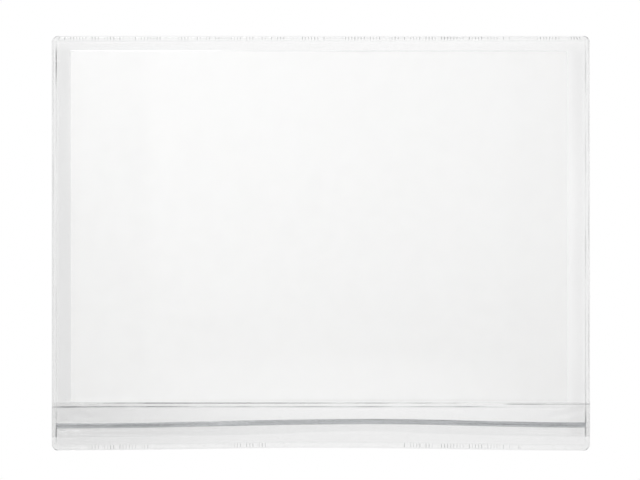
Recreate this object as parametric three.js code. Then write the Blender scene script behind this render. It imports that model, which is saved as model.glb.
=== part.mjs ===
// A clear landscape pocket for one sheet, held on a steel surface by two magnet strips behind it.
// Millimetres. X runs to the right as the pocket is read, Z is up, +Y points into the wall.
// The origin is the middle of the upper magnet strip's rear face, which lies on the wall.

import * as THREE from 'three';

// Driving sizes of the sheet
const sheetWidth = 297;
const sheetHeight = 210;
const sheetThickness = 0.12;
const sheetShift = -1.1; // the sheet lies a little left of the pocket's middle

// Driving sizes of the welded film
const filmThickness = 0.3;
const weldWidth = 2.5; // along the top and the sides
const lowerWeldWidth = 3;
const seamWidth = 2.3; // the lower strip's upper weld, just under the ledge
const ridgeWidth = 0.5; // film squeezed up along both borders of a weld
const ridgeProud = 0.18;
const cornerRadius = 3.5;
const sideClearance = 10; // from the sheet's side to the side weld, with the sheet in the middle
const topClearance = 6.7; // from the sheet's upper edge to the top weld
const ledgeHeight = 28.8; // from the lower corners up to the lower strip's top edge, where the sheet stands
const filmClearance = 0.8; // free depth in front of the sheet
const riseRun = 5.5; // way in from a weld over which the front film reaches its full depth
const stepClearance = 0.3; // the front film starts to step off the lower strip this far above it
const stepRun = 2.2;
const bottomBow = 1.6; // the lower edge is drawn up by this in its middle

// Driving sizes of the lip, the free lower edge of the front film
const lipHeight = 8.1; // from the lower corners up to the lip's cut edge, at the side welds
const flangeHeight = 5.4; // plain film below the bead
const beadHeight = 3;
const beadProud = 0.9;
const grooveProud = 0.35; // what the bead still stands proud in the groove along its middle
const weldedProud = 0.2; // what is left of the bead where the side welds press it flat
const lipBow = 2.4; // the lip is drawn up by this at its crown
const lipGape = 2.4; // and stands this much further off there
const lipCrown = 29; // place of the crown, right of the middle
const gapeReach = 48; // the gape fades out over this height above the cut edge

// Driving sizes of the magnet strips
const magnetInset = 8.5; // from the sheet's side to the end of a strip
const magnetHeight = 20;
const magnetThickness = 1;
const magnetEdgeGap = 8; // from the sheet's upper or lower edge to the nearer strip
const tapeThickness = 0.15;
const tapeInset = 0.5; // the tape is this much smaller than its strip all round

// Sizes and places that follow
const pocketWidth = sheetWidth + 2 * (sideClearance + weldWidth);
const pocketHeight = ledgeHeight + sheetHeight + topClearance + weldWidth;
const halfWidth = pocketWidth / 2;
const sheetTop = ledgeHeight + sheetHeight;
const magnetLength = sheetWidth - 2 * magnetInset;
const lowerMagnetMiddle = ledgeHeight + magnetEdgeGap + magnetHeight / 2;
const upperMagnetMiddle = sheetTop - magnetEdgeGap - magnetHeight / 2;

// Distances off the wall, from the back of the stack to its front
const tapeRear = magnetThickness;
const backFilmRear = tapeRear + tapeThickness;
const backFilmFront = backFilmRear + filmThickness;
const stripFront = backFilmFront + filmThickness;
const billow = sheetThickness + filmClearance;
const riseShares = [0.15, 0.35, 0.6, 1]; // where the grids have lines across the rise of the front film

const clearFilm = new THREE.MeshStandardMaterial({
  color: 0xf1f3f3,
  roughness: 0.08,
  metalness: 0,
  transparent: true,
  opacity: 0.3,
});
const whitePaper = new THREE.MeshStandardMaterial({ color: 0xf7f7f6, roughness: 0.85, metalness: 0 });
const magnetRubber = new THREE.MeshStandardMaterial({ color: 0x3a3432, roughness: 0.75, metalness: 0 });
const adhesiveTape = new THREE.MeshStandardMaterial({ color: 0xe6e0cf, roughness: 0.5, metalness: 0 });

function smoothRise(share) {
  const s = Math.min(Math.max(share, 0), 1);
  return s * s * (3 - 2 * s);
}

// One half wave, from 0 at both ends to 1 at the crown, which may lie off the middle
function arch(x, crown, halfSpan) {
  const run = x < crown ? crown + halfSpan : halfSpan - crown;
  const share = Math.min(Math.abs(x - crown) / run, 1);
  return 0.5 + 0.5 * Math.cos(Math.PI * share);
}

function lowerEdge(x) {
  return bottomBow * arch(x, 0, halfWidth - cornerRadius);
}

// The back film is the pocket's whole outline, drawn in XZ. Its thickness goes forward from y = 0.
function backFilmGeometry() {
  const bowSteps = 24;
  const shape = new THREE.Shape();
  const upperZ = pocketHeight - cornerRadius;
  const innerX = halfWidth - cornerRadius;
  shape.moveTo(-halfWidth, upperZ);
  shape.absarc(-innerX, upperZ, cornerRadius, Math.PI, Math.PI / 2, true);
  shape.absarc(innerX, upperZ, cornerRadius, Math.PI / 2, 0, true);
  shape.lineTo(halfWidth, cornerRadius);
  shape.absarc(innerX, cornerRadius, cornerRadius, 0, -Math.PI / 2, true);
  for (let step = 1; step < bowSteps; step += 1) {
    const x = innerX - (2 * innerX * step) / bowSteps;
    shape.lineTo(x, lowerEdge(x));
  }
  shape.lineTo(-innerX, 0);
  shape.absarc(-innerX, cornerRadius, cornerRadius, -Math.PI / 2, -Math.PI, true);
  shape.closePath();
  const geometry = new THREE.ExtrudeGeometry(shape, {
    depth: filmThickness,
    bevelEnabled: false,
    curveSegments: 8,
  });
  geometry.rotateX(Math.PI / 2);
  return geometry;
}

// Distances in from a weld's outer border at which its two ridges start, peak and end, and its middle
function ridgeInsets(width) {
  const half = ridgeWidth / 2;
  return [0, half, ridgeWidth, width / 2, width - ridgeWidth, width - half, width];
}

// What the weld stands proud at a distance in from its outer border
function ridgeAt(inset, width) {
  const outerPeak = ridgeWidth / 2;
  const innerPeak = width - ridgeWidth / 2;
  const fromPeak = Math.min(Math.abs(inset - outerPeak), Math.abs(inset - innerPeak));
  return ridgeProud * Math.max(1 - (2 * fromPeak) / ridgeWidth, 0);
}

// Stations across the front film and the lower strip, close together beside the side welds
function filmStations() {
  const fromWeld = riseShares.map((share) => weldWidth + share * riseRun);
  const edge = [...ridgeInsets(weldWidth), ...fromWeld];
  const plainSteps = 9;
  const innerX = halfWidth - weldWidth - riseRun;
  const stations = edge.map((inset) => inset - halfWidth);
  for (let step = 1; step < 2 * plainSteps; step += 1) {
    stations.push(innerX * (step / plainSteps - 1));
  }
  for (const inset of [...edge].reverse()) {
    stations.push(halfWidth - inset);
  }
  return stations;
}

// How far the outline's corner stands in from the side at a height below the top edge
function cornerInset(below) {
  if (below >= cornerRadius) {
    return 0;
  }
  const rise = cornerRadius - below;
  return cornerRadius - Math.sqrt(cornerRadius * cornerRadius - rise * rise);
}

// The rows of the front film, from its top edge down to the cut edge of the lip.
// A row has its height at the side welds, its share of the lip's bow and what its bead stands proud.
function filmRows() {
  const rows = [];
  const seamRow = ledgeHeight + stepClearance;
  const beadBottom = lipHeight + flangeHeight;
  const beadTop = beadBottom + beadHeight;
  for (const inset of ridgeInsets(weldWidth)) {
    rows.push({ z: pocketHeight - inset, bow: 0, proud: 0 });
  }
  const riseEnd = pocketHeight - weldWidth - riseRun;
  for (const share of riseShares) {
    rows.push({ z: pocketHeight - weldWidth - share * riseRun, bow: 0, proud: 0 });
  }
  const stepTop = seamRow + stepRun;
  const gapeTop = lipHeight + gapeReach;
  const plainSteps = 6;
  for (let step = 1; step <= plainSteps; step += 1) {
    rows.push({ z: riseEnd + ((gapeTop - riseEnd) * step) / plainSteps, bow: 0, proud: 0 });
  }
  for (const share of [0.6, 0.3, 0]) {
    rows.push({ z: stepTop + share * (gapeTop - stepTop), bow: 0, proud: 0 });
  }
  rows.push({ z: seamRow, bow: 0, proud: 0 });
  for (const share of [0.35, 0.7, 0.95]) {
    rows.push({ z: seamRow + share * (beadTop - seamRow), bow: share, proud: 0 });
  }
  // The bead is two round lobes with a groove between them
  const lobe = [
    [0, 0],
    [0.06, 0.65],
    [0.22, 1],
    [0.4, 0.8],
  ];
  const grooveShare = grooveProud / beadProud;
  const section = [...lobe, [0.5, grooveShare], ...lobe.map(([at, proud]) => [1 - at, proud]).reverse()];
  for (const [at, proud] of section) {
    rows.push({ z: beadTop - at * beadHeight, bow: 1, proud: proud * beadProud });
  }
  for (const share of [0.5, 1]) {
    rows.push({ z: beadBottom - share * flangeHeight, bow: 1, proud: 0 });
  }
  return rows;
}

// A closed body between two grids of points of the same size, the first one in front
function slabGeometry(frontGrid, rearGrid) {
  const rowCount = frontGrid.length;
  const columnCount = frontGrid[0].length;
  const positions = [...frontGrid.flat(), ...rearGrid.flat()].flat();
  const index = [];
  const front = (row, column) => row * columnCount + column;
  const rear = (row, column) => rowCount * columnCount + front(row, column);
  const quad = (a, b, c, d) => index.push(a, b, c, a, c, d);
  for (let row = 0; row < rowCount - 1; row += 1) {
    for (let column = 0; column < columnCount - 1; column += 1) {
      quad(front(row, column), front(row + 1, column), front(row + 1, column + 1), front(row, column + 1));
      quad(rear(row, column), rear(row, column + 1), rear(row + 1, column + 1), rear(row + 1, column));
    }
  }
  // One face of the rim, between neighbouring points on the border of both grids
  const rim = (fromRow, fromColumn, toRow, toColumn) => {
    const near = front(toRow, toColumn);
    const far = rear(toRow, toColumn);
    quad(front(fromRow, fromColumn), near, far, rear(fromRow, fromColumn));
  };
  const lastRow = rowCount - 1;
  const lastColumn = columnCount - 1;
  for (let column = 0; column < lastColumn; column += 1) {
    rim(0, column, 0, column + 1);
    rim(lastRow, column + 1, lastRow, column);
  }
  for (let row = 0; row < lastRow; row += 1) {
    rim(row + 1, 0, row, 0);
    rim(row, lastColumn, row + 1, lastColumn);
  }
  const geometry = new THREE.BufferGeometry();
  geometry.setAttribute('position', new THREE.Float32BufferAttribute(positions, 3));
  geometry.setIndex(index);
  geometry.computeVertexNormals();
  return geometry;
}

// How far the inner face of the front film stands off the wall
function innerDepth(x, z, cutEdge) {
  const weldedHalf = halfWidth - weldWidth;
  const side = smoothRise((weldedHalf - Math.abs(x)) / riseRun);
  const top = smoothRise((pocketHeight - weldWidth - z) / riseRun);
  const offStrip = smoothRise((z - ledgeHeight - stepClearance) / stepRun);
  const fade = Math.cos((Math.PI / 2) * Math.min((z - cutEdge) / gapeReach, 1)) ** 2;
  const gape = lipGape * arch(x, lipCrown, weldedHalf) * fade;
  return stripFront - filmThickness * offStrip + billow * side * top + gape;
}

// The place of a station in a row that a rounded corner shortens by an inset at each end
function besideCorner(station, inset) {
  const anchor = halfWidth - weldWidth - riseRun; // stations further in don't follow the corners
  const reach = Math.abs(station);
  if (reach <= anchor) {
    return station;
  }
  const squeeze = (halfWidth - inset - anchor) / (halfWidth - anchor);
  return Math.sign(station) * (anchor + (reach - anchor) * squeeze);
}

function frontFilmGeometry() {
  const stations = filmStations();
  const weldedHalf = halfWidth - weldWidth;
  const frontGrid = [];
  const rearGrid = [];
  for (const row of filmRows()) {
    const below = pocketHeight - row.z;
    const frontRow = [];
    const rearRow = [];
    for (const station of stations) {
      const reach = Math.abs(station);
      const x = besideCorner(station, cornerInset(below));
      const bow = lipBow * arch(x, lipCrown, weldedHalf);
      const z = row.z + row.bow * bow;
      const bead = row.proud * (reach < weldedHalf ? 1 : weldedProud / beadProud);
      const ridge = ridgeAt(Math.min(halfWidth - reach, below), weldWidth);
      const inner = innerDepth(x, z, lipHeight + bow);
      frontRow.push([x, -(inner + filmThickness + Math.max(bead, ridge)), z]);
      rearRow.push([x, -inner, z]);
    }
    frontGrid.push(frontRow);
    rearGrid.push(rearRow);
  }
  return slabGeometry(frontGrid, rearGrid);
}

// The lower strip lies flat on the back film, with ridges along its seam and its lower weld
function lowerStripGeometry() {
  const stations = filmStations();
  const rows = [];
  for (const inset of ridgeInsets(seamWidth)) {
    rows.push({ z: ledgeHeight - inset, bow: 0, ridge: ridgeAt(inset, seamWidth) });
  }
  rows.push({ z: (ledgeHeight - seamWidth + lowerWeldWidth) / 2, bow: 0.5, ridge: 0 });
  for (const inset of ridgeInsets(lowerWeldWidth).reverse()) {
    rows.push({ z: inset, bow: 1, ridge: ridgeAt(inset, lowerWeldWidth) });
  }
  const frontGrid = [];
  const rearGrid = [];
  for (const row of rows) {
    const frontRow = [];
    const rearRow = [];
    for (const station of stations) {
      const x = besideCorner(station, cornerInset(row.z));
      const z = row.z + row.bow * lowerEdge(x);
      const clearOfSides = smoothRise((halfWidth - weldWidth - Math.abs(station)) / riseRun);
      frontRow.push([x, -(filmThickness + row.ridge * clearOfSides), z]);
      rearRow.push([x, 0, z]);
    }
    frontGrid.push(frontRow);
    rearGrid.push(rearRow);
  }
  return slabGeometry(frontGrid, rearGrid);
}

// A flat rectangular piece, centred on x = 0, with its rear face at y = 0 and its lower edge at z = 0
function flatPiece(width, height, thickness) {
  const geometry = new THREE.BoxGeometry(width, thickness, height);
  geometry.translate(0, -thickness / 2, height / 2);
  return geometry;
}

const pocket = new THREE.Group();
pocket.position.z = -upperMagnetMiddle;

function addPiece(name, geometry, material, x, offWall, z) {
  const mesh = new THREE.Mesh(geometry, material);
  mesh.name = name;
  mesh.position.set(x, -offWall, z);
  pocket.add(mesh);
}

addPiece('back_film', backFilmGeometry(), clearFilm, 0, backFilmRear, 0);
addPiece('lower_strip', lowerStripGeometry(), clearFilm, 0, backFilmFront, 0);
addPiece('front_film', frontFilmGeometry(), clearFilm, 0, 0, 0);

const sheet = flatPiece(sheetWidth, sheetHeight, sheetThickness);
addPiece('insert_sheet', sheet, whitePaper, sheetShift, backFilmFront, ledgeHeight);

const tapeLength = magnetLength - 2 * tapeInset;
const tapeHeight = magnetHeight - 2 * tapeInset;
for (const [place, middle] of [['upper', upperMagnetMiddle], ['lower', lowerMagnetMiddle]]) {
  const strip = flatPiece(magnetLength, magnetHeight, magnetThickness);
  const tape = flatPiece(tapeLength, tapeHeight, tapeThickness);
  addPiece(`magnet_${place}`, strip, magnetRubber, 0, 0, middle - magnetHeight / 2);
  addPiece(`tape_${place}`, tape, adhesiveTape, 0, tapeRear, middle - tapeHeight / 2);
}

const part = new THREE.Group();
part.add(pocket);

export default part;
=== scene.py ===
import math
import bpy
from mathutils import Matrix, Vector, noise


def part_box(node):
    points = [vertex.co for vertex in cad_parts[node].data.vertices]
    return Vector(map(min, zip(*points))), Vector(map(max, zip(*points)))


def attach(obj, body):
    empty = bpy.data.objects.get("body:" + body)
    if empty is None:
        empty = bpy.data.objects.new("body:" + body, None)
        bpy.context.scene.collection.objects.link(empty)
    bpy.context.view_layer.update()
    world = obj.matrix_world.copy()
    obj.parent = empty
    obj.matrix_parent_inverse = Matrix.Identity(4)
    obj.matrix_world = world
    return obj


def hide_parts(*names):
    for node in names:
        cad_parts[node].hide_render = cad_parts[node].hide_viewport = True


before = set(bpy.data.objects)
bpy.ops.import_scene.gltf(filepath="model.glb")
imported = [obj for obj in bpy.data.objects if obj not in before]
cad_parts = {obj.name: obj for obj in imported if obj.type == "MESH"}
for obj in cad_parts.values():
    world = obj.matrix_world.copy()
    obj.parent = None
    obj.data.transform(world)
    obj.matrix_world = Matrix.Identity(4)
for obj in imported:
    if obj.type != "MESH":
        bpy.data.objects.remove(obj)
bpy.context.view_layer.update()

mm = 0.001
print("frame loaded, nodes:", len(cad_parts))

# Everything below is worked out in the pocket's own millimetres: x from its middle, z up from its
# lower corners, and depth forward from the steel surface behind the magnets.
backLow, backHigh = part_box("back_film")
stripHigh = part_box("lower_strip")[1]
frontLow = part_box("front_film")[0]
sheetLow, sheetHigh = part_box("insert_sheet")
bottomZ = backLow[2]
halfWidth = backHigh[0] / mm
height = (backHigh[2] - bottomZ) / mm
ledge = (stripHigh[2] - bottomZ) / mm
lipEdge = (frontLow[2] - bottomZ) / mm
backRear = -backHigh[1] / mm
backFront = -backLow[1] / mm
stripFront = backFront + (backFront - backRear)


# From the pocket's millimetres to metres in the shared frame
def place(x, depth, z):
    return (x * mm, -depth * mm, bottomZ + z * mm)


def clamp(value, low=0.0, high=1.0):
    return max(low, min(high, value))


# From 0 to 1 with soft ends
def smooth(share):
    s = clamp(share)
    return s * s * (3 - 2 * s)


# A long bell, where hump below is a short one that ends at its reach
def bump(distance, reach):
    return math.exp(-(distance / reach) ** 2)


# Materials

def linearColour(hexText):
    channels = [int(hexText[i:i + 2], 16) / 255 for i in (1, 3, 5)]
    return [c / 12.92 if c <= 0.04045 else ((c + 0.055) / 1.055) ** 2.4 for c in channels] + [1.0]


def addNode(tree, kind, settings=None, inputs=None):
    node = tree.nodes.new(kind)
    for name, value in (settings or {}).items():
        setattr(node, name, value)
    for name, value in (inputs or {}).items():
        if isinstance(value, bpy.types.NodeSocket):
            tree.links.new(value, node.inputs[name])
        else:
            node.inputs[name].default_value = value
    return node


def newMaterial(name):
    material = bpy.data.materials.new(name)
    material.use_nodes = True
    material.node_tree.nodes.clear()
    return material, material.node_tree


def finishMaterial(tree, shader):
    addNode(tree, "ShaderNodeOutputMaterial", inputs={"Surface": shader})


# Noise in millimetres of the object, stretched by a size along each axis
def noiseAt(tree, sizes, detail=2.0, rough=0.5):
    coords = addNode(tree, "ShaderNodeTexCoord")
    scale = Vector([1 / (size * mm) for size in sizes])
    mapped = addNode(tree, "ShaderNodeMapping", inputs={"Vector": coords.outputs["Object"], "Scale": scale})
    grain = addNode(tree, "ShaderNodeTexNoise",
                    inputs={"Vector": mapped.outputs[0], "Scale": 1.0, "Detail": detail, "Roughness": rough})
    return grain.outputs["Fac"]


def ranged(tree, value, fromLow, fromHigh, toLow, toHigh, kind="LINEAR"):
    node = addNode(tree, "ShaderNodeMapRange", {"interpolation_type": kind}, {
        "Value": value, "From Min": fromLow, "From Max": fromHigh, "To Min": toLow, "To Max": toHigh})
    return node.outputs[0]


# Clear films: what shows through is a little greyer at each face. On the slopes of welds, beads and edges,
# where the normal turns away from the front, painted shade makes it much greyer, standing in for the light
# that these slopes bend away.
# Gloss follows the angle (Schlick).
def clearPlastic(name, look):
    material, tree = newMaterial(name)
    relief = noiseAt(tree, look["rippleMm"], detail=1.0)
    bumped = addNode(tree, "ShaderNodeBump", inputs={
        "Height": relief, "Strength": look["rippleStrength"], "Distance": look["rippleHeight"] * mm})
    coords = addNode(tree, "ShaderNodeTexCoord")
    towardFront = addNode(tree, "ShaderNodeVectorMath", {"operation": "DOT_PRODUCT"}, {
        0: coords.outputs["Normal"], 1: (0, 1, 0)})
    level = addNode(tree, "ShaderNodeMath", {"operation": "ABSOLUTE"}, {0: towardFront.outputs["Value"]})
    # painted shade: the see-through colour darkens as the normal turns away from the front
    slopeShade = ranged(tree, level.outputs[0], 1 - look["turnFrom"], 1 - look["turnTo"], 0.0, 1.0, "SMOOTHSTEP")
    tint = addNode(tree, "ShaderNodeMix", {"data_type": "RGBA"}, {
        "Factor": slopeShade, "A": linearColour(look["tint"]), "B": linearColour(look["slopeShadeTint"])})
    if "shadeStreakTint" in look:
        # painted shade: darker streaks along the bead, laid in by stretched noise
        shadeStreaks = noiseAt(tree, look["streakMm"], detail=3.0, rough=0.6)
        share = ranged(tree, shadeStreaks, look["streakFrom"], look["streakTo"], 0.0, 1.0, "SMOOTHSTEP")
        tint = addNode(tree, "ShaderNodeMix", {"data_type": "RGBA"}, {
            "Factor": share, "A": tint.outputs["Result"], "B": linearColour(look["shadeStreakTint"])})
    through = addNode(tree, "ShaderNodeBsdfTransparent", inputs={"Color": tint.outputs["Result"]})
    milk = addNode(tree, "ShaderNodeBsdfDiffuse", inputs={"Color": linearColour(look["milk"])})
    hazed = addNode(tree, "ShaderNodeMixShader", inputs={
        "Fac": look["haze"], 1: through.outputs[0], 2: milk.outputs[0]})
    gloss = addNode(tree, "ShaderNodeBsdfGlossy", inputs={
        "Color": (1, 1, 1, 1), "Roughness": look["roughness"], "Normal": bumped.outputs[0]})
    facing = addNode(tree, "ShaderNodeLayerWeight", inputs={"Blend": 0.5})
    steep = addNode(tree, "ShaderNodeMath", {"operation": "POWER"}, {
        0: facing.outputs["Facing"], 1: 5.0})  # Schlick's fifth power
    mirror = ranged(tree, steep.outputs[0], 0.0, 1.0, look["headOnGloss"], 1.0)
    mixed = addNode(tree, "ShaderNodeMixShader", inputs={
        "Fac": mirror, 1: hazed.outputs[0], 2: gloss.outputs[0]})
    finishMaterial(tree, mixed.outputs[0])
    return material


# Soft PVC film, calendered: smooth and glossy, with a slight orange peel from the rollers
softPvcFilm = clearPlastic("softPvcFilmCalendered", {
    "tint": "#fefefe", "slopeShadeTint": "#a4a7a8", "turnFrom": 0.006, "turnTo": 0.5,
    "milk": "#eef0f0", "haze": 0.008, "roughness": 0.05, "headOnGloss": 0.044,
    "rippleMm": (18, 18, 18), "rippleStrength": 0.2, "rippleHeight": 0.02,
})
# The back film is pressed against a fine cloth in making, so it is a little smokier than the front
softPvcBack = clearPlastic("softPvcFilmSatin", {
    "tint": "#f9f9f9", "slopeShadeTint": "#a0a3a4", "turnFrom": 0.006, "turnTo": 0.5,
    "milk": "#e8eaea", "haze": 0.015, "roughness": 0.07, "headOnGloss": 0.044,
    "rippleMm": (3, 3, 3), "rippleStrength": 0.3, "rippleHeight": 0.01,
})
# The strip is cut from the clearest film, which hardly greys what is behind it
softPvcStrip = clearPlastic("softPvcFilmWaterClear", {
    "tint": "#fdfdfd", "slopeShadeTint": "#a4a7a8", "turnFrom": 0.006, "turnTo": 0.5,
    "milk": "#eef0f0", "haze": 0.005, "roughness": 0.05, "headOnGloss": 0.044,
    "rippleMm": (18, 18, 18), "rippleStrength": 0.25, "rippleHeight": 0.02,
})
# Film pressed thin in a heated tool: a little hazier, and the painted shade on its slopes begins earlier and
# goes darker
pressedWeld = clearPlastic("softPvcPressedWeld", {
    "tint": "#fbfbfb", "slopeShadeTint": "#77797b", "turnFrom": 0.003, "turnTo": 0.34,
    "milk": "#f4f5f5", "haze": 0.03, "roughness": 0.14, "headOnGloss": 0.044,
    "rippleMm": (2.5, 2.5, 2.5), "rippleStrength": 0.3, "rippleHeight": 0.02,
})
# Solid PVC profile of the lip, extruded: thick and round. Its smoke grey tint is painted shade for the light
# that the round profile bends away, and the darker streaks along it are painted shade too
beadPvc = clearPlastic("solidPvcExtruded", {
    "tint": "#e3e4e5", "slopeShadeTint": "#8e9092", "turnFrom": 0.02, "turnTo": 0.45,
    "shadeStreakTint": "#d3d5d6", "streakMm": (70, 0.8, 0.8), "streakFrom": 0.42, "streakTo": 0.66,
    "milk": "#c8cacb", "haze": 0.04, "roughness": 0.1, "headOnGloss": 0.05,
    "rippleMm": (40, 0.8, 0.8), "rippleStrength": 0.4, "rippleHeight": 0.02,
})
# Cut edge of the film: the knife leaves it rougher, and its grey tint is painted shade for the light that the
# edge bends away
cutFilmEdge = clearPlastic("softPvcCutEdge", {
    "tint": "#c9cccd", "slopeShadeTint": "#8f9294", "turnFrom": 0.2, "turnTo": 0.9,
    "milk": "#dfe2e2", "haze": 0.3, "roughness": 0.3, "headOnGloss": 0.044,
    "rippleMm": (0.6, 0.6, 0.6), "rippleStrength": 0.3, "rippleHeight": 0.02,
})
plainSlot, weldSlot, beadSlot, cutSlot = range(4)


# Office paper, uncoated and bright white: matt, with fibre clouds and a fine felt of fibres
def makePaper():
    look = {
        "white": "#f7f7f7", "cloud": "#f5f5f5", "cloudMm": 7.0, "cloudFrom": 0.35, "cloudTo": 0.7,
        "fibreMm": 0.9, "fibreHeight": 0.02, "fibreStrength": 0.25,  # drawn about 5 times too coarse, to show
        "roughness": 0.88, "ior": 1.5, "specular": 0.25,
    }
    material, tree = newMaterial("officePaperUncoated")
    clouds = noiseAt(tree, [look["cloudMm"]] * 3, detail=4.0, rough=0.6)
    share = ranged(tree, clouds, look["cloudFrom"], look["cloudTo"], 0.0, 1.0, "SMOOTHSTEP")
    colour = addNode(tree, "ShaderNodeMix", {"data_type": "RGBA"}, {
        "Factor": share, "A": linearColour(look["white"]), "B": linearColour(look["cloud"])})
    fibres = noiseAt(tree, [look["fibreMm"]] * 3, detail=6.0, rough=0.7)
    relief = addNode(tree, "ShaderNodeBump", inputs={
        "Height": fibres, "Strength": look["fibreStrength"], "Distance": look["fibreHeight"] * mm})
    shader = addNode(tree, "ShaderNodeBsdfPrincipled", inputs={
        "Base Color": colour.outputs["Result"], "Roughness": look["roughness"], "IOR": look["ior"],
        "Specular IOR Level": look["specular"], "Normal": relief.outputs[0]})
    finishMaterial(tree, shader.outputs[0])
    return material


# Ferrite in rubber, calendered: dark brown-grey, dull, with drawn lines along the strip and pale dust
def makeMagnetRubber():
    look = {
        "body": "#2b2725", "drawn": "#37322f", "lineMm": (90, 0.7, 0.7), "lineFrom": 0.35, "lineTo": 0.65,
        "lineHeight": 0.05, "lineStrength": 0.5,
        "dust": "#504a46", "dustMm": 0.5, "dustFrom": 0.62, "dustTo": 0.78, "dustShare": 0.6,
        "smoothest": 0.56, "roughest": 0.7, "ior": 1.52,
    }
    material, tree = newMaterial("ferriteRubberCalendered")
    lines = noiseAt(tree, look["lineMm"], detail=3.0, rough=0.6)
    body = addNode(tree, "ShaderNodeMix", {"data_type": "RGBA"}, {
        "Factor": ranged(tree, lines, look["lineFrom"], look["lineTo"], 0.0, 1.0),
        "A": linearColour(look["body"]), "B": linearColour(look["drawn"])})
    specks = noiseAt(tree, [look["dustMm"]] * 3, detail=2.0, rough=0.7)
    dusted = addNode(tree, "ShaderNodeMix", {"data_type": "RGBA"}, {
        "Factor": ranged(tree, specks, look["dustFrom"], look["dustTo"], 0.0, look["dustShare"]),
        "A": body.outputs["Result"], "B": linearColour(look["dust"])})
    rough = ranged(tree, lines, 0.3, 0.7, look["smoothest"], look["roughest"])
    relief = addNode(tree, "ShaderNodeBump", inputs={
        "Height": lines, "Strength": look["lineStrength"], "Distance": look["lineHeight"] * mm})
    shader = addNode(tree, "ShaderNodeBsdfPrincipled", inputs={
        "Base Color": dusted.outputs["Result"], "Roughness": rough, "IOR": look["ior"],
        "Normal": relief.outputs[0]})
    finishMaterial(tree, shader.outputs[0])
    return material


# Double-sided tape: a thin acrylic adhesive with small trapped bubbles
def makeTape():
    look = {
        "glue": "#e8e2d2", "bubble": "#f6f2e8", "bubbleMm": 1.1, "bubbleFrom": 0.12, "bubbleTo": 0.3,
        "roughness": 0.35, "ior": 1.47,
    }
    material, tree = newMaterial("acrylicTapeCoated")
    coords = addNode(tree, "ShaderNodeTexCoord")
    cells = addNode(tree, "ShaderNodeTexVoronoi",
                    inputs={"Vector": coords.outputs["Object"], "Scale": 1 / (look["bubbleMm"] * mm)})
    colour = addNode(tree, "ShaderNodeMix", {"data_type": "RGBA"}, {
        "Factor": ranged(tree, cells.outputs["Distance"], look["bubbleFrom"], look["bubbleTo"], 1.0, 0.0),
        "A": linearColour(look["glue"]), "B": linearColour(look["bubble"])})
    shader = addNode(tree, "ShaderNodeBsdfPrincipled", inputs={
        "Base Color": colour.outputs["Result"], "Roughness": look["roughness"], "IOR": look["ior"]})
    finishMaterial(tree, shader.outputs[0])
    return material


officePaper = makePaper()
ferriteRubber = makeMagnetRubber()
acrylicTape = makeTape()
print("materials made:", len(bpy.data.materials))


# Mesh building: a film is a closed skin between rows of points in front and behind

# Joins two rows of numbered points that run from left to right, which may differ in number
def bridge(points, upper, lower):
    faces = []
    if len(upper) == len(lower):
        for i in range(len(upper) - 1):
            faces.append((upper[i], lower[i], lower[i + 1], upper[i + 1]))
        return faces
    i = j = 0
    while i < len(upper) - 1 or j < len(lower) - 1:
        lowerNext = j < len(lower) - 1 and (
            i == len(upper) - 1 or points[lower[j + 1]][0] <= points[upper[i + 1]][0])
        if lowerNext:
            faces.append((upper[i], lower[j], lower[j + 1]))
            j += 1
        else:
            faces.append((upper[i], lower[j], upper[i + 1]))
            i += 1
    return faces


def filmSkin(name, plainFilm, frontRows, rearRows, slotOf):
    points = []
    numbered = []
    for rows in (frontRows, rearRows):
        numbered.append([])
        for row in rows:
            numbered[-1].append(list(range(len(points), len(points) + len(row))))
            points.extend(place(*point) for point in row)
    front, rear = numbered
    faces, slots = [], []

    def take(newFaces, slot=None):
        for face in newFaces:
            faces.append(face)
            if slot is None:
                x = sum(points[n][0] for n in face) / len(face) / mm
                z = (sum(points[n][2] for n in face) / len(face) - bottomZ) / mm
                slots.append(slotOf(x, z))
            else:
                slots.append(slot)

    for i in range(len(front) - 1):
        take(bridge(points, front[i], front[i + 1]))
        take([face[::-1] for face in bridge(points, rear[i], rear[i + 1])])
        for face in ((rear[i][0], rear[i + 1][0], front[i + 1][0], front[i][0]),
                     (front[i][-1], front[i + 1][-1], rear[i + 1][-1], rear[i][-1])):
            take([face], cutSlot)
    take(bridge(points, rear[0], front[0]), cutSlot)
    take(bridge(points, front[-1], rear[-1]), cutSlot)
    return meshPiece(name, points, faces, [plainFilm, pressedWeld, beadPvc, cutFilmEdge], slots)


def meshPiece(name, points, faces, materials, slots=None, sharpDegrees=24):
    mesh = bpy.data.meshes.new(name)
    mesh.from_pydata(points, [], faces)
    for material in materials:
        mesh.materials.append(material)
    if slots:
        mesh.polygons.foreach_set("material_index", slots)
    mesh.shade_smooth()
    mesh.set_sharp_from_angle(angle=math.radians(sharpDegrees))
    mesh.validate()
    piece = bpy.data.objects.new(name, mesh)
    bpy.context.scene.collection.objects.link(piece)
    return piece


def ride(piece, node):
    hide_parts(node)
    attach(piece, "root")


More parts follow.
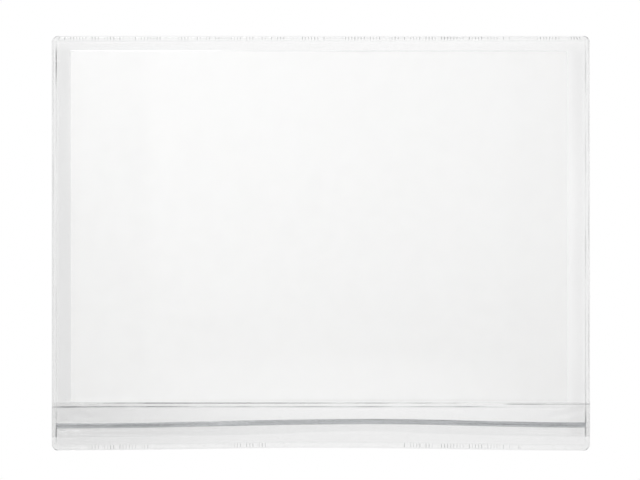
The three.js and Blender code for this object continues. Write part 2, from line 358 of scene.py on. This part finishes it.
# The films' shared shape, in millimetres
shape = {
    "weld": 2.5, "corner": 3.5,
    "fineEdge": 3.25, "fineStep": 0.125, "plainStep": 4.0,  # spacing of points, at the border and inside
    "riseRun": 9.5, "billow": 0.34,                         # the front film rises from its welds
    "lowerBow": 1.6, "lipBow": 2.4, "lipLean": 0.25,        # the lower edges are drawn up in their middle
    "crown": 29.0, "crownPower": 0.65, "gapeReach": 48.0, "gapeSpare": 0.04,
    "bead": 3.1, "beadProud": 0.9, "weldedBead": 0.2, "flange": 5.4, "flangeTilt": 0.07,
    "stepStart": 0.3, "stepRun": 2.2,                       # the front film steps down onto the strip
}
weldedHalf = halfWidth - shape["weld"]
beadBottom = lipEdge + shape["flange"]
beadTop = beadBottom + shape["bead"]
film = backFront - backRear
sheetTop = (sheetHigh[2] - bottomZ) / mm
sheetEdges = (sheetLow[0] / mm, sheetHigh[0] / mm)
# The lip stands off so far that the bead just stays inside the solid's own reach
lipGape = -frontLow[1] / mm - (stripFront + film + shape["billow"] + shape["beadProud"]) - shape["gapeSpare"]

# Weld lines: the flash squeezed out by the tool, higher in some places than in others. A tall place is
# given as side, height, reach and share, and a joint of the tool, which crosses the weld, without a reach.
flash = {
    "proud": 0.3, "reach": 0.45, "outerInset": 0.8, "innerInset": 2.65, "topInset": 1.1, "lowInset": 1.7,
    "outer": 0.55, "outerWander": 0.25, "inner": 0.6, "innerWander": 0.35, "patchMm": 30.0,
    "innerEnds": (2, 3, 3, 4),  # how far from the bottom and top it ends, and how softly
    "tall": ((-1, 232.5, 9.0, 0.5), (-1, 11.5, 10.0, 0.65), (1, 228.0, 15.0, 0.2), (1, 15.0, 8.0, 0.7)),
    "joints": ((-1, 232.8, 0.75), (1, 245.7, 0.3), (1, 216.0, 0.75)),
    "jointReach": 0.5, "jointInset": 0.2, "jointFade": 0.4,
    "topFront": 0.45, "topBack": 0.55, "low": 0.22, "endPatchMm": 17.0,
}
# The tool's ribs across the welds, each one a fine notch, and about one in four of them faint. They are
# spaced 1.5 times as wide as real ones, which would blur. Patches are given as middle and reach, and
# bands across the weld as start, end and how softly they begin and end.
knurl = {
    "pitch": 1.85, "deep": 0.138, "stepsPerRib": 9, "faintOnes": 0.25, "faint": 0.25, "shallowest": 0.6,
    "wander": 1.8, "topShare": 1.15, "topPatchMm": 11.0, "patchShare": 1.4, "patchMm": 8.0, "patchFade": 6,
    "topLeft": 0.6, "topLeftMiddle": -155, "topLeftReach": 10, "seamReach": 0.9,
    "topBand": (0.1, 2.6, 0.5, 0.6), "lowBand": (0.3, 3.5, 0.6, 0.6),
    "lowerPatches": ((-120.0, 22.0), (-42.0, 16.0), (83.0, 40.0)), "seamPatches": ((-132.0, 22.0),),
}


# A bow from 0 at both ends to 1 at its crown
def arch(x, crown, halfSpan):
    run = crown + halfSpan if x < crown else halfSpan - crown
    return 0.5 + 0.5 * math.cos(math.pi * min(abs(x - crown) / run, 1))


# Eased between stations of x and share
def along(stations, x):
    for (x0, share0), (x1, share1) in zip(stations, stations[1:]):
        if x <= x1:
            return share0 + (share1 - share0) * smooth((x - x0) / (x1 - x0))
    return stations[-1][1]


def wander(x, z, seed):
    return noise.noise(Vector((x, z, seed)))


def hump(distance, reach):
    return smooth(1 - abs(distance) / reach)


def lowerEdge(x):
    return shape["lowerBow"] * arch(x, 0, halfWidth - shape["corner"])


def lipBow(x):
    return shape["lipBow"] * arch(x, shape["crown"], weldedHalf) + shape["lipLean"] * x / halfWidth


def cornerInset(away):
    rise = max(shape["corner"] - away, 0)
    return shape["corner"] - math.sqrt(shape["corner"] ** 2 - rise ** 2)


# The columns beside a corner crowd together by as much as its round takes off
def besideCorner(x, inset):
    anchor = weldedHalf - shape["riseRun"]
    if abs(x) <= anchor:
        return x
    return math.copysign(anchor + (abs(x) - anchor) * (halfWidth - inset - anchor) / (halfWidth - anchor), x)


# 1 between start and end, with a soft step at each
def band(value, start, end, fadeIn, fadeOut):
    return smooth((value - start) / fadeIn) * smooth((end - value) / fadeOut)


# Relief of the side welds: a line along each border, the inner one tall in a few places
def sideFlash(x, z):
    inset = halfWidth - abs(x)
    if inset > shape["fineEdge"]:
        return 0
    side = math.copysign(1, x)
    outer = flash["outer"] + flash["outerWander"] * wander(z / flash["patchMm"], side, 2.2)
    inner = flash["inner"] + flash["innerWander"] * wander(z / flash["patchMm"], side, 6.6)
    inner += max(share * bump(z - middle, reach) for s, middle, reach, share in flash["tall"] if s == side)
    low, high, lowFade, highFade = flash["innerEnds"]
    inner *= band(z, low, height - high, lowFade, highFade)
    joint = max(share * hump(z - jointZ, flash["jointReach"])
                for s, jointZ, share in flash["joints"] if s == side)
    lines = max(outer * hump(inset - flash["outerInset"], flash["reach"]),
                inner * hump(inset - flash["innerInset"], flash["reach"]),
                joint * smooth((inset - flash["jointInset"]) / flash["jointFade"]))
    return flash["proud"] * lines


# Relief of the welds along the top and bottom
def endFlash(x, inset, lineInset, share):
    fade = smooth((weldedHalf + 1 - abs(x)) / 3)
    patch = clamp(share + 0.5 * share * wander(x / flash["endPatchMm"], lineInset, 3.1))
    return flash["proud"] * fade * patch * hump(inset - lineInset, flash["reach"])


# A fixed draw from 0 to 1 for each notch, by the usual sine hash
def notchDraw(index):
    return math.sin(12.9898 * index + 3.7) * 43758.5453 % 1


def notchAt(x, across, share):
    if across * share <= 0:
        return 0
    index = round(x / knurl["pitch"])
    draw = notchDraw(index)
    own = knurl["shallowest"] + (1 - knurl["shallowest"]) * draw
    if draw <= knurl["faintOnes"]:
        own = knurl["faint"]
    phase = x / knurl["pitch"] - index
    return -knurl["deep"] * across * share * own * max(1 - knurl["stepsPerRib"] * abs(phase), 0)


def topNotch(x, inset):
    share = knurl["topShare"] + knurl["wander"] * wander(x / knurl["topPatchMm"], 0.4, 8.3)
    nearLeft = knurl["topLeft"] * bump(x - knurl["topLeftMiddle"], knurl["topLeftReach"])
    return notchAt(x, band(inset, *knurl["topBand"]), clamp(share + nearLeft))


def patchShare(x, patches):
    inside = max(smooth((reach - abs(x - middle)) / knurl["patchFade"]) for middle, reach in patches)
    return inside * clamp(knurl["patchShare"] + knurl["wander"] * wander(x / knurl["patchMm"], 2.6, 1.9))


# The stiff magnets keep the pocket flat, and between them the films and the sheet wave a little
waves = {
    "deep": 0.16, "deepMm": (70, 60), "fine": 0.02, "fineMm": (30, 36),
    "edgeRun": 14.0, "ledgeRun": 16.0, "magnetReach": 17.0,
}
magnetHeights = [((low[2] + high[2]) / 2 - bottomZ) / mm
                 for low, high in (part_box("magnet_lower"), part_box("magnet_upper"))]


# A wave as long and as tall as the two sizes say
def roll(x, z, sizes, seed):
    return wander(x / sizes[0], z / sizes[1], seed)


def lay(x, z):
    inner = smooth((weldedHalf - abs(x)) / waves["edgeRun"]) * smooth((height - 4 - z) / waves["edgeRun"])
    inner *= smooth((z - ledge + 2) / waves["ledgeRun"])
    free = 1 - max(bump(z - middle, waves["magnetReach"]) for middle in magnetHeights)
    wave = waves["deep"] * roll(x, z, waves["deepMm"], 1.3) + waves["fine"] * roll(x, z, waves["fineMm"], 7.1)
    return wave * inner * free


def fineInsets(width):
    return [shape["fineStep"] * i for i in range(round(width / shape["fineStep"]) + 1)]


# The columns' places from left to right, which grow wider apart over the film's rise
def columns():
    rest = shape["weld"] + shape["riseRun"] - shape["fineEdge"]
    edge = fineInsets(shape["fineEdge"])
    edge += [shape["fineEdge"] + rest * share for share in (0.1, 0.25, 0.45, 0.7, 1)]
    inner = halfWidth - edge[-1]
    count = round(2 * inner / shape["plainStep"])
    plain = [inner * (2 * i / count - 1) for i in range(1, count)]
    return [inset - halfWidth for inset in edge] + plain + [halfWidth - inset for inset in reversed(edge)]


# Columns close enough together for the notches, in the given stretches
def ribColumns(patches):
    step = knurl["pitch"] / knurl["stepsPerRib"]
    ribs = []
    for middle, reach in patches:
        first, last = math.ceil((middle - reach) / step), math.floor((middle + reach) / step)
        ribs += [i * step for i in range(first, last + 1)]
    outside = [x for x in columns() if all(abs(x - middle) > reach + step for middle, reach in patches)]
    return sorted(outside + ribs)


# The bead: a flat-topped round with steep sides, a groove near its middle that comes and goes, and two
# finer lines beside it right of the crown. Places across it are shares of its height, from the top.
beadForm = {
    "power": 3, "grooveDeep": 0.38, "grooveAt": 0.53, "grooveReach": 0.11,
    "groove": ((-161, 0.75), (-110, 0.9), (-72, 0.6), (-36, 0.2), (0, 0.05), (60, 0.25), (90, 0.9),
               (126, 1), (161, 0.7)),
    "strandDeep": 0.2, "strandMiddle": 50, "strandSpan": 26, "strandsAt": (0.36, 0.7), "strandReach": 0.09,
}


def beadAt(share, x):
    power = beadForm["power"]
    dome = max(1 - abs(2 * share - 1) ** power, 0) ** (1 / power)
    groove = beadForm["grooveDeep"] * along(beadForm["groove"], x)
    groove *= hump(share - beadForm["grooveAt"], beadForm["grooveReach"])
    strand = beadForm["strandDeep"] * bump(x - beadForm["strandMiddle"], beadForm["strandSpan"])
    strand *= sum(hump(share - at, beadForm["strandReach"]) for at in beadForm["strandsAt"])
    return shape["beadProud"] * (dome - groove - strand)


# Short creases in the flange, drawn by the weld where it ends the lip. Each line is given as side,
# distance under the bead, slope and reach.
creases = {
    "deep": 0.24, "wide": 0.32, "fadeIn": 2.0,
    "lines": ((-1, 1.1, 0.012, 34.0), (-1, 2.3, -0.016, 26.0), (-1, 3.4, 0.02, 40.0),
              (1, 1.6, 0.02, 16.0), (1, 3.6, -0.01, 22.0)),
}


def creaseAt(x, underBead):
    side = math.copysign(1, x)
    away = weldedHalf - abs(x)
    lines = [math.exp(-away / reach) * hump(underBead - start - slope * away, creases["wide"])
             for s, start, slope, reach in creases["lines"] if s == side]
    return creases["deep"] * max(lines) * smooth(away / creases["fadeIn"])


# The film swells a little where it meets the bead, most of all near the left weld
swell = {"proud": 0.3, "middle": -152.0, "span": 42.0, "tall": 3.2}


def swellAt(x, z):
    if z <= beadTop:
        return 0
    low = smooth(1 - (z - beadTop) / swell["tall"])
    return swell["proud"] * bump(x - swell["middle"], swell["span"]) * low


# Slanting wrinkles that the side welds draw in the front film above the bead
wrinkles = {
    "deep": 0.12, "spacing": 6.5, "slope": 0.22, "above": 5.0, "tall": 9.0, "reach": 12.0, "fadeIn": 3.0,
}


def wrinkleAt(x, z):
    away = weldedHalf - abs(x)
    if away <= 0:
        return 0
    fade = smooth(away / wrinkles["fadeIn"]) * math.exp(-away / wrinkles["reach"])
    fade *= bump(z - beadTop - wrinkles["above"], wrinkles["tall"])
    turn = 2 * math.pi * (z + wrinkles["slope"] * away) / wrinkles["spacing"]
    return wrinkles["deep"] * fade * math.sin(turn)


# The front film's own waves, and two shallow folds that stand upright in it, given as middle and reach
frontWaves = {
    "deep": 0.08, "deepMm": (62, 90), "fine": 0.01, "fineMm": (25, 40),
    "foldDeep": 0.12, "folds": ((-102, 11), (112, 10)), "aboveBead": 6.0, "run": 30.0,
}


def frontInner(x, z):
    side = smooth((weldedHalf - abs(x)) / shape["riseRun"])
    top = smooth((height - shape["weld"] - z) / shape["riseRun"])
    offStrip = smooth((z - ledge - shape["stepStart"]) / shape["stepRun"])
    cutEdge = lipEdge + lipBow(x)
    fade = math.cos(math.pi / 2 * clamp((z - cutEdge) / shape["gapeReach"])) ** 2
    crown = arch(x, shape["crown"], weldedHalf) ** shape["crownPower"]
    tilt = shape["flangeTilt"] * max(shape["flange"] + cutEdge - z, 0) * crown
    upper = smooth((z - beadTop - frontWaves["aboveBead"]) / frontWaves["run"])
    wave = frontWaves["deep"] * roll(x, z, frontWaves["deepMm"], 4.2)
    wave += frontWaves["fine"] * roll(x, z, frontWaves["fineMm"], 9.4)
    folds = sum(frontWaves["foldDeep"] * bump(x - middle, reach) for middle, reach in frontWaves["folds"])
    own = (shape["billow"] + (wave + folds) * upper + wrinkleAt(x, z)) * side * top
    return stripFront - film * offStrip + own + lipGape * crown * fade - tilt + lay(x, z) * side * top


# The film bends a little over the sheet's upper edge, more so right of the middle
sheetBend = {"proud": 0.09, "more": 0.09, "moreFrom": -6.0, "moreRun": 16.0, "above": 0.15, "reach": 0.55}


def overSheet(x, z):
    inside = band(x, sheetEdges[0] - 1, sheetEdges[1] + 1, 2, 2)
    more = sheetBend["more"] * smooth((x - sheetBend["moreFrom"]) / sheetBend["moreRun"])
    return (sheetBend["proud"] + more) * inside * hump(z - sheetTop - sheetBend["above"], sheetBend["reach"])


# Rows of the front film from the top down: each has its height, how far it follows the lip's bow, and
# its share of the bead where it lies on it
def frontHeights():
    counts = {"rise": 5, "bend": 9, "jointSide": 4, "underSeam": 14, "bead": 28, "flange": 26}
    steps = {"bend": 0.2, "bendAbove": 0.8, "joint": 0.183, "jointClear": 0.8}
    weldRows = [height - inset for inset in fineInsets(shape["fineEdge"])]
    rise = weldRows[-1] - sheetTop - 1
    riseRows = [weldRows[-1] - rise * i / counts["rise"] for i in range(1, counts["rise"] + 1)]
    sheetRows = [sheetTop + steps["bendAbove"] - steps["bend"] * i for i in range(counts["bend"])]
    stepTop = ledge + shape["stepStart"] + shape["stepRun"]
    count = round((sheetTop - 1 - stepTop) / shape["plainStep"])
    panelRows = [sheetTop - 1 + (stepTop - sheetTop + 1) * i / count for i in range(1, count + 1)]
    jointZs = [z for side, z, share in flash["joints"] if z < sheetTop - 3]
    panelRows = [z for z in panelRows if all(abs(z - jointZ) > steps["jointClear"] for jointZ in jointZs)]
    around = range(-counts["jointSide"], counts["jointSide"] + 1)
    panelRows += [z + steps["joint"] * i for z in jointZs for i in around]
    panelRows.sort(reverse=True)
    seamRow = ledge + shape["stepStart"]
    seamRows = [seamRow + shape["stepRun"] * share for share in (0.75, 0.5, 0.25, 0)]
    rows = [(z, 0, None) for z in weldRows + riseRows + sheetRows + panelRows + seamRows]
    under = counts["underSeam"]
    rows += [(seamRow + (beadTop - seamRow) * i / under, i / under, None) for i in range(1, under)]
    rows += [(beadTop - shape["bead"] * i / counts["bead"], 1, i / counts["bead"])
             for i in range(counts["bead"] + 1)]
    rows += [(beadBottom - shape["flange"] * i / counts["flange"], 1, None)
             for i in range(1, counts["flange"] + 1)]
    return rows


def buildFrontFilm():
    frontRows, rearRows = [], []
    plain, ribbed = columns(), ribColumns([(0.0, weldedHalf - 1)])
    for rowZ, bowed, beadShare in frontHeights():
        below = height - rowZ
        inWeld = below <= shape["fineEdge"]
        row, behind = [], []
        for x0 in ribbed if inWeld else plain:
            x = besideCorner(x0, cornerInset(below))
            z = rowZ + bowed * lipBow(x)
            relief = sideFlash(x0, z)
            if beadShare is not None:
                lift = beadAt(beadShare, x)
                relief = max(relief, lift if abs(x0) < weldedHalf else lift * shape["weldedBead"])
            elif rowZ < beadBottom:
                relief = max(relief, creaseAt(x, beadBottom - rowZ))
            elif bowed > 0:
                relief = max(relief, swellAt(x, rowZ))
            if inWeld:
                relief = max(relief, endFlash(x0, below, flash["topInset"], flash["topFront"]))
                relief += topNotch(x0, below) if abs(x0) < weldedHalf else 0
            row.append((x, frontInner(x, z) + film + relief + overSheet(x, z), z))
        for x0 in plain:
            x = besideCorner(x0, cornerInset(below))
            z = rowZ + bowed * lipBow(x)
            behind.append((x, frontInner(x, z) + overSheet(x, z), z))
        frontRows.append(row)
        rearRows.append(behind)

    def slotOf(x, z):
        unbowed = z - lipBow(x)
        spare = 0.02
        if abs(x) < weldedHalf and beadBottom - spare < unbowed < beadTop + spare:
            return beadSlot
        return weldSlot if min(halfWidth - abs(x), height - z) < shape["fineEdge"] else plainSlot

    piece = filmSkin("frontFilm", softPvcFilm, frontRows, rearRows, slotOf)
    ride(piece, "front_film")
    return piece


# The strip's seam shows as two fine lines that fall a little toward both ends. The upper one stops short
# of the left weld and is gone for a while right of the middle, and the lower one runs out at the right.
seam = {
    "upper": ((-161, 0), (-153, 0), (-141, 0.5), (-111, 0.9), (-72, 1), (-36, 0.9), (0, 0.65), (48, 0.68),
              (80, 0.55), (94, 0.12), (104, 0.2), (116, 0.9), (161, 0.7)),
    "lower": ((-161, 1.1), (-141, 1), (-111, 1.1), (-72, 0.8), (-36, 0.75), (0, 0.75), (48, 0.78), (90, 0.75),
              (108, 0.5), (122, 0.05), (145, 0.1), (161, 0.4)),
    "upperInset": 0.45, "lowerInset": 2.6, "proud": 0.33, "reach": 0.36, "rows": 3.5,
    "leftDrop": 0.3, "leftFrom": -128, "leftRun": 12, "rightDrop": 0.6, "rightFrom": 92, "rightRun": 18,
    "share": 0.85, "wander": 0.4, "patchMm": 12,
}


def seamRelief(x, inset):
    drop = seam["leftDrop"] * smooth((seam["leftFrom"] - x) / seam["leftRun"])
    drop += seam["rightDrop"] * smooth((x - seam["rightFrom"]) / seam["rightRun"])
    upper = along(seam["upper"], x) * hump(inset - seam["upperInset"] - drop, seam["reach"])
    lower = along(seam["lower"], x) * hump(inset - seam["lowerInset"] - 0.5 * drop, seam["reach"])
    patch = seam["share"] + seam["wander"] * wander(x / seam["patchMm"], 1.0, 5.5)
    return seam["proud"] * patch * max(upper, lower)


def buildLowerStrip():
    plain = columns()
    seamColumns, lowColumns = ribColumns(knurl["seamPatches"]), ribColumns(knurl["lowerPatches"])
    lowRows = 3.75
    heights = [(ledge - inset, 0, seamColumns) for inset in fineInsets(seam["rows"])]
    top, count = ledge - seam["rows"], 8
    heights += [(top + (lowRows - top) * i / count, i / count, plain) for i in range(1, count)]
    heights += [(inset, 1, lowColumns) for inset in reversed(fineInsets(lowRows))]
    frontRows, rearRows = [], []
    for rowZ, bowed, across in heights:
        cut = cornerInset(rowZ)
        row = []
        for x0 in across:
            x = besideCorner(x0, cut)
            z = rowZ + bowed * lowerEdge(x)
            free = smooth((weldedHalf - abs(x0)) / 3)
            if across is seamColumns:
                inset = ledge - rowZ
                notchRow = hump(inset - seam["lowerInset"], knurl["seamReach"])
                relief = seamRelief(x, inset)
                relief += free * notchAt(x, notchRow, patchShare(x, knurl["seamPatches"]))
            else:
                relief = 0
                if z < lipEdge:
                    relief = max(sideFlash(x0, z), endFlash(x0, rowZ, flash["lowInset"], flash["low"]))
                notchRow = band(rowZ, *knurl["lowBand"])
                relief += free * notchAt(x, notchRow, patchShare(x, knurl["lowerPatches"]))
            row.append((x, stripFront + relief, z))
        frontRows.append(row)
        rearRows.append([(besideCorner(x0, cut), backFront, rowZ + bowed * lowerEdge(besideCorner(x0, cut)))
                         for x0 in plain])

    def slotOf(x, z):
        low = z - lowerEdge(x) < lowRows or z > ledge - seam["rows"]
        return weldSlot if low or halfWidth - abs(x) < shape["fineEdge"] else plainSlot

    piece = filmSkin("lowerStrip", softPvcStrip, frontRows, rearRows, slotOf)
    ride(piece, "lower_strip")
    return piece


# The tool's print comes through on the back film's rear face, lower than in front
def buildBackFilm():
    printThrough = 0.4
    plain = columns()
    heights = [(height - inset, 0) for inset in fineInsets(shape["fineEdge"])]
    top, bottom = height - shape["fineEdge"], shape["fineEdge"]
    count = round((top - bottom) / shape["plainStep"])
    heights += [(top + (bottom - top) * i / count, clamp(2 * i / count - 1)) for i in range(1, count)]
    heights += [(inset, 1) for inset in reversed(fineInsets(shape["fineEdge"]))]
    frontRows, rearRows = [], []
    for rowZ, bowed in heights:
        cut = cornerInset(min(height - rowZ, rowZ))
        frontRow, rearRow = [], []
        for x0 in plain:
            x = besideCorner(x0, cut)
            z = rowZ + bowed * lowerEdge(x)
            relief = max(sideFlash(x0, z), endFlash(x0, height - rowZ, flash["topInset"], flash["topBack"]),
                         endFlash(x0, rowZ, flash["lowInset"], flash["low"]))
            frontRow.append((x, backFront + lay(x, z), z))
            rearRow.append((x, backRear - printThrough * relief + lay(x, z), z))
        frontRows.append(frontRow)
        rearRows.append(rearRow)

    def slotOf(x, z):
        inset = min(halfWidth - abs(x), height - z, z - lowerEdge(x))
        return weldSlot if inset < shape["fineEdge"] else plainSlot

    piece = filmSkin("backFilm", softPvcBack, frontRows, rearRows, slotOf)
    ride(piece, "back_film")
    return piece


# The sheet rests on the back film, with a hair of air so that their faces stay apart
def buildSheet():
    steps = {"across": 90, "up": 64, "air": 0.01}
    left, right = sheetEdges
    low = (sheetLow[2] - bottomZ) / mm
    thick = (sheetHigh[1] - sheetLow[1]) / mm
    rear = backFront + steps["air"]
    xs = [left + (right - left) * i / steps["across"] for i in range(steps["across"] + 1)]
    frontRows, rearRows = [], []
    for j in range(steps["up"] + 1):
        z = sheetTop + (low - sheetTop) * j / steps["up"]
        rearRows.append([(x, rear + lay(x, z), z) for x in xs])
        frontRows.append([(x, rear + thick + lay(x, z), z) for x in xs])
    piece = filmSkin("insertSheet", officePaper, frontRows, rearRows, lambda x, z: plainSlot)
    for polygon in piece.data.polygons:
        polygon.material_index = plainSlot
    while len(piece.data.materials) > 1:
        piece.data.materials.pop()
    ride(piece, "insert_sheet")


# A magnet strip is slit from a wide sheet, so its long edges are a little round and its ends are cut
def buildMagnet(name, node):
    size = {"edge": 0.16, "corner": 1.2, "arcSteps": 4}
    low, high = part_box(node)
    left, right = low[0] / mm, high[0] / mm
    lower, upper = (low[2] - bottomZ) / mm, (high[2] - bottomZ) / mm
    rear, front = -high[1] / mm, -low[1] / mm
    quarter = [math.pi / 2 * i / size["arcSteps"] for i in range(size["arcSteps"] + 1)]

    def outline(inset, depth):
        corner = size["corner"] - inset
        ring = []
        for turn, (x, z) in enumerate(((right, upper), (left, upper), (left, lower), (right, lower))):
            midX = x - math.copysign(inset + corner, x)
            midZ = z - (inset + corner) * (1 if z == upper else -1)
            for angle in quarter:
                a = turn * math.pi / 2 + angle
                ring.append((midX + corner * math.cos(a), depth, midZ + corner * math.sin(a)))
        return ring

    rounds = [(size["edge"] * (1 - math.sin(a)), size["edge"] * (1 - math.cos(a))) for a in quarter]
    loops = [outline(inset, rear + step) for inset, step in rounds]
    loops += [outline(inset, front - step) for inset, step in reversed(rounds)]
    count = len(loops[0])
    faces = []
    for i in range(len(loops) - 1):
        for j in range(count):
            k = (j + 1) % count
            faces.append((i * count + j, i * count + k, (i + 1) * count + k, (i + 1) * count + j))
    faces.append(tuple(range(count))[::-1])
    faces.append(tuple(range((len(loops) - 1) * count, len(loops) * count)))
    piece = meshPiece(name, [place(*point) for loop in loops for point in loop], faces, [ferriteRubber])
    ride(piece, node)


films = [buildFrontFilm(), buildLowerStrip(), buildBackFilm()]
triangles = sum(len(polygon.vertices) - 2 for piece in films for polygon in piece.data.polygons)
print("films built, triangles:", triangles)
buildSheet()
buildMagnet("magnetUpper", "magnet_upper")
buildMagnet("magnetLower", "magnet_lower")
for node in ("tape_upper", "tape_lower"):
    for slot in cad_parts[node].material_slots:
        slot.material = acrylicTape
print("sheet, magnets and tape built")


# Studio: a white surround, a pale floor under the pocket, soft lamps and one large diffuser in front.
# Floor in millimetres, lamps in metres from the pocket's middle and in watts.
studio = {
    "ambient": 0.6, "floorDrop": 250.0, "floorRadius": 1300.0, "floorColour": "#ececea", "floorLift": 0.3,
    "keyAbove": {"spot": (-0.5, -0.9, 0.9), "size": (1.0, 0.7), "watts": 10.8},
    "fillBehind": {"spot": (-0.6, 1.1, 0.5), "size": (1.0, 0.8), "watts": 8.0},
}
middleZ = bottomZ + height * mm / 2


# 1 for the rays that look at the surround itself, also through the film or mirrored in it
def seesSurround(tree):
    path = addNode(tree, "ShaderNodeLightPath")
    eye = addNode(tree, "ShaderNodeMath", {"operation": "MAXIMUM"}, {
        0: path.outputs["Is Camera Ray"], 1: path.outputs["Is Glossy Ray"]})
    both = addNode(tree, "ShaderNodeMath", {"operation": "MAXIMUM"}, {
        0: eye.outputs[0], 1: path.outputs["Is Transmission Ray"]})
    return both.outputs[0]


def buildWorld():
    world = bpy.data.worlds.new("studioSurround")
    bpy.context.scene.world = world
    world.use_nodes = True
    tree = world.node_tree
    tree.nodes.clear()
    soft, white = [addNode(tree, "ShaderNodeBackground", inputs={"Color": (1, 1, 1, 1), "Strength": strength})
                   for strength in (studio["ambient"], 1.0)]
    mixed = addNode(tree, "ShaderNodeMixShader", inputs={
        "Fac": seesSurround(tree), 1: soft.outputs[0], 2: white.outputs[0]})
    addNode(tree, "ShaderNodeOutputWorld", inputs={"Surface": mixed.outputs[0]})


def buildFloor():
    sides, radius = 96, studio["floorRadius"]
    turns = [2 * math.pi * i / sides for i in range(sides)]
    ring = [(radius * math.cos(turn), radius * math.sin(turn), -studio["floorDrop"]) for turn in turns]
    material, tree = newMaterial("studioFloorPaper")
    matt = addNode(tree, "ShaderNodeBsdfDiffuse", inputs={"Color": linearColour(studio["floorColour"])})
    lift = addNode(tree, "ShaderNodeEmission", inputs={
        "Color": (1, 1, 1, 1), "Strength": studio["floorLift"]})
    both = addNode(tree, "ShaderNodeAddShader", inputs={0: matt.outputs[0], 1: lift.outputs[0]})
    seen = addNode(tree, "ShaderNodeMixShader", inputs={
        "Fac": seesSurround(tree), 1: matt.outputs[0], 2: both.outputs[0]})
    finishMaterial(tree, seen.outputs[0])
    floor = meshPiece("studioFloor", [place(*point) for point in ring], [tuple(range(sides))], [material])


# A cloth diffuser lit from behind, in metres. The film mirrors it: its glow is brightest above the middle,
# leans a little, and narrows near its lower end.
def buildDiffuser(distance):
    cloth = {
        "wide": 1.3, "tall": 1.0, "peak": 1.44, "middleX": 0.06, "middleZ": 0.2, "lean": 0.13,
        "spreadX": 0.33, "powerX": 4.0, "spreadZ": 0.4, "powerZ": 2.0,
        "pinch": 3.2, "pinchFrom": -0.15, "pinchTo": -0.26,
    }
    left, low = -cloth["wide"] / 2, -cloth["tall"] / 2
    corners = ((left, low), (-left, low), (-left, -low), (left, -low))
    points = [(x, -distance, middleZ + z) for x, z in corners]
    material, tree = newMaterial("studioDiffuserCloth")
    coords = addNode(tree, "ShaderNodeTexCoord")

    def offMiddle(direction, spread, middle, power):
        reached = addNode(tree, "ShaderNodeVectorMath", {"operation": "DOT_PRODUCT"}, {
            0: coords.outputs["Object"], 1: Vector(direction) / spread})
        offset = addNode(tree, "ShaderNodeMath", {"operation": "SUBTRACT"}, {
            0: reached.outputs["Value"], 1: middle / spread})
        return addNode(tree, "ShaderNodeMath", {"operation": "POWER"}, {
            0: addNode(tree, "ShaderNodeMath", {"operation": "ABSOLUTE"}, {0: offset.outputs[0]}).outputs[0],
            1: power}).outputs[0]

    atX = cloth["middleX"] + cloth["lean"] * middleZ
    across = offMiddle((1, 0, cloth["lean"]), cloth["spreadX"], atX, cloth["powerX"])
    upward = offMiddle((0, 0, 1), cloth["spreadZ"], middleZ + cloth["middleZ"], cloth["powerZ"])
    rise = addNode(tree, "ShaderNodeVectorMath", {"operation": "DOT_PRODUCT"}, {
        0: coords.outputs["Object"], 1: (0, 0, 1)})
    pinch = ranged(tree, rise.outputs["Value"], middleZ + cloth["pinchTo"], middleZ + cloth["pinchFrom"],
                   cloth["pinch"], 1.0, "SMOOTHSTEP")
    pinched = addNode(tree, "ShaderNodeMath", {"operation": "MULTIPLY"}, {0: across, 1: pinch})
    total = addNode(tree, "ShaderNodeMath", {"operation": "ADD"}, {0: pinched.outputs[0], 1: upward})
    half = addNode(tree, "ShaderNodeMath", {"operation": "MULTIPLY"}, {0: total.outputs[0], 1: -0.5})
    fall = addNode(tree, "ShaderNodeMath", {"operation": "EXPONENT"}, {0: half.outputs[0]})
    level = ranged(tree, fall.outputs[0], 0.0, 1.0, 0.0, cloth["peak"])
    glow = addNode(tree, "ShaderNodeEmission", inputs={"Color": (1, 1, 1, 1), "Strength": level})
    clear = addNode(tree, "ShaderNodeBsdfTransparent")
    side = addNode(tree, "ShaderNodeNewGeometry")
    shader = addNode(tree, "ShaderNodeMixShader", inputs={
        "Fac": side.outputs["Backfacing"], 1: glow.outputs[0], 2: clear.outputs[0]})
    finishMaterial(tree, shader.outputs[0])
    sheet = meshPiece("studioDiffuser", points, [(3, 2, 1, 0)], [material])
    sheet.visible_camera = False
    sheet.visible_shadow = False


def addLamp(name):
    data = bpy.data.lights.new(name, "AREA")
    data.shape = "RECTANGLE"
    data.size, data.size_y = studio[name]["size"]
    data.energy = studio[name]["watts"]
    lamp = bpy.data.objects.new(name, data)
    right, back, up = studio[name]["spot"]
    spot = (right, back, middleZ + up)
    lamp.location = spot
    aim = Vector((0, 0, middleZ)) - Vector(spot)
    lamp.rotation_euler = aim.to_track_quat("-Z", "Y").to_euler()
    lamp.visible_camera = False
    bpy.context.scene.collection.objects.link(lamp)


# The photograph is 640 by 480, and shows 0.5991 mm of the pocket in each pixel
view = {
    "distance": 1.5, "sensor": 36.0,
    "mmPerPixel": 0.5991, "pixels": (640, 480), "middlePixel": (320.9, 243.3),
}


def buildCamera():
    data = bpy.data.cameras.new("photoCamera")
    data.sensor_width = view["sensor"]
    frameWidth = view["pixels"][0] * view["mmPerPixel"] * mm
    data.lens = view["sensor"] * view["distance"] / frameWidth
    camera = bpy.data.objects.new("photoCamera", data)
    right = (view["pixels"][0] / 2 - view["middlePixel"][0]) * view["mmPerPixel"] * mm
    up = (view["middlePixel"][1] - view["pixels"][1] / 2) * view["mmPerPixel"] * mm
    camera.location = (right, -view["distance"], middleZ + up)
    camera.rotation_euler = (math.pi / 2, 0, 0)
    bpy.context.scene.collection.objects.link(camera)
    bpy.context.scene.camera = camera


buildWorld()
buildFloor()
buildDiffuser(view["distance"])
addLamp("keyAbove")
addLamp("fillBehind")
buildCamera()
scene = bpy.context.scene
scene.view_settings.view_transform = "Standard"
scene.cycles.transparent_max_bounces = 32  # a slanting ray can cross more faces of film than 8
print("studio and camera placed")
